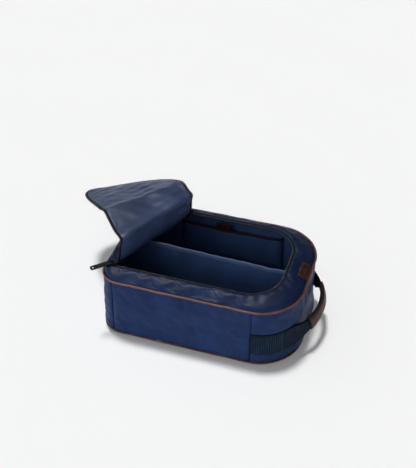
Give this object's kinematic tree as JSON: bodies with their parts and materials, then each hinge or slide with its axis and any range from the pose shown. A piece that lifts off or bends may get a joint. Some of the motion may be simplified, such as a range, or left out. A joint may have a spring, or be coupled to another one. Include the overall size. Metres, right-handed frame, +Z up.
{
  "type": "shoe bag",
  "caption": "Zip-top shoe bag with rounded ends, piped seams, a padded divider, an inner slip pocket and a leather-wrapped webbing carry handle; lid shown folded open.",
  "frame": {"origin": "middle of the flat base face the bag rests on", "axes": "+X along the bag towards the carry handle, +Y across it towards the slip pocket, +Z up through the zipped opening"},
  "size_m": [0.5093, 0.3204, 0.1962],
  "materials": {
    "board": "stiff sheet",
    "brown_leather": "smooth grain, satin",
    "cord": "twisted filler cord",
    "dark_metal": "gunmetal plating",
    "foam": "closed-cell foam sheet, matt",
    "navy_lining": "smooth plain weave",
    "navy_nylon": "coated plain weave, slight sheen",
    "tan_leather": "smooth, satin",
    "thread": "twisted thread",
    "webbing": "ribbed webbing",
    "zip_coil": "moulded coil",
    "zip_tape": "woven tape"
  },
  "bodies": {
    "root": {"base_board": "board", "base_foam": "foam", "bottom_panel": "navy_nylon", "bottom_piping": "tan_leather", "bottom_piping_cord": "cord", "divider_binding": "navy_lining", "divider_core": "foam", "divider_far_skin": "navy_lining", "divider_near_skin": "navy_lining", "far_side_foam": "foam", "far_side_gusset": "navy_nylon", "floor_lining": "navy_lining", "handle_end_foam": "foam", "handle_end_gusset": "navy_nylon", "handle_far_tail": "webbing", "handle_near_tail": "webbing", "handle_stitching": "thread", "hinge_end_foam": "foam", "hinge_end_gusset": "navy_nylon", "leather_patch": "brown_leather", "lid_base_lining": "navy_lining", "lid_base_shell": "navy_nylon", "lid_base_zip": "zip_tape", "near_side_foam": "foam", "near_side_gusset": "navy_nylon", "pocket_binding": "brown_leather", "pocket_label": "brown_leather", "pocket_panel": "navy_lining", "top_lining": "navy_lining", "top_panel": "navy_nylon", "top_piping": "tan_leather", "top_piping_cord": "cord", "wall_lining": "navy_lining", "zip_coil": "zip_coil", "zip_end_stops": "dark_metal", "zip_tape": "zip_tape"},
    "flap_1": {"flap_1_lining": "navy_lining", "flap_1_shell": "navy_nylon", "flap_1_zip": "zip_tape"},
    "flap_2": {"flap_2_lining": "navy_lining", "flap_2_shell": "navy_nylon", "flap_2_zip": "zip_tape"},
    "flap_3": {"flap_3_lining": "navy_lining", "flap_3_shell": "navy_nylon", "flap_3_zip": "zip_tape"},
    "flap_4": {"flap_4_lining": "navy_lining", "flap_4_shell": "navy_nylon", "flap_4_zip": "zip_tape"},
    "near_slider": {"near_slider": "dark_metal"},
    "near_pull": {"near_pull": "dark_metal"},
    "far_slider": {"far_slider": "dark_metal"},
    "far_pull": {"far_pull": "dark_metal"},
    "handle": {"handle_webbing": "webbing", "handle_grip": "brown_leather"}
  },
  "joints": [
    {"name": "flap_fold", "type": "hinge", "parent": "root", "child": "flap_1", "pos_m": [-0.1185, 0, 0.1408], "axis": [-0.4038, -0.9149, 0], "range_deg": [-90, 8]},
    {"name": "flap_curl_1", "type": "hinge", "parent": "flap_1", "child": "flap_2", "pos_m": [-0.11255, 0.01348, 0.17419], "axis": [-0.4035, -0.9144, 0.0332], "range_deg": [-75.05, 6.77]},
    {"name": "flap_curl_2", "type": "hinge", "parent": "flap_2", "child": "flap_3", "pos_m": [-0.14652, 0.04971, 0.1858], "axis": [-0.5747, -0.8139, 0.0853], "range_deg": [-33.05, 3.03]},
    {"name": "flap_curl_3", "type": "hinge", "parent": "flap_3", "child": "flap_4", "pos_m": [-0.21312, 0.11464, 0.15338], "axis": [-0.9266, -0.3577, -0.1161], "range_deg": [-13.05, 1.26]},
    {"name": "near_slider_slide", "type": "slide", "parent": "root", "child": "near_slider", "axis": [1, 0, 0], "range_m": [0, 0.2383]},
    {"name": "near_pull_swing", "type": "hinge", "parent": "near_slider", "child": "near_pull", "pos_m": [-0.1605, -0.0895, 0.1444], "axis": [-0.6947, 0.7193, 0], "range_deg": [0, 110]},
    {"name": "far_slider_slide", "type": "slide", "parent": "root", "child": "far_slider", "axis": [1, 0, 0], "range_m": [-0.0764, 0.1618]},
    {"name": "far_pull_swing", "type": "hinge", "parent": "far_slider", "child": "far_pull", "pos_m": [-0.084, 0.0895, 0.1444], "axis": [0.6947, 0.7193, 0], "range_deg": [0, 40]},
    {"name": "handle_swing", "type": "hinge", "parent": "root", "child": "handle", "pos_m": [0.157, 0, 0.052], "axis": [0, -1, 0], "range_deg": [-36, 12]}
  ],
  "couplings": [
    {"joint": "flap_curl_1", "follows": "flap_fold", "ratio": 0.83333},
    {"joint": "flap_curl_2", "follows": "flap_fold", "ratio": 0.36667},
    {"joint": "flap_curl_3", "follows": "flap_fold", "ratio": 0.14444}
  ]
}
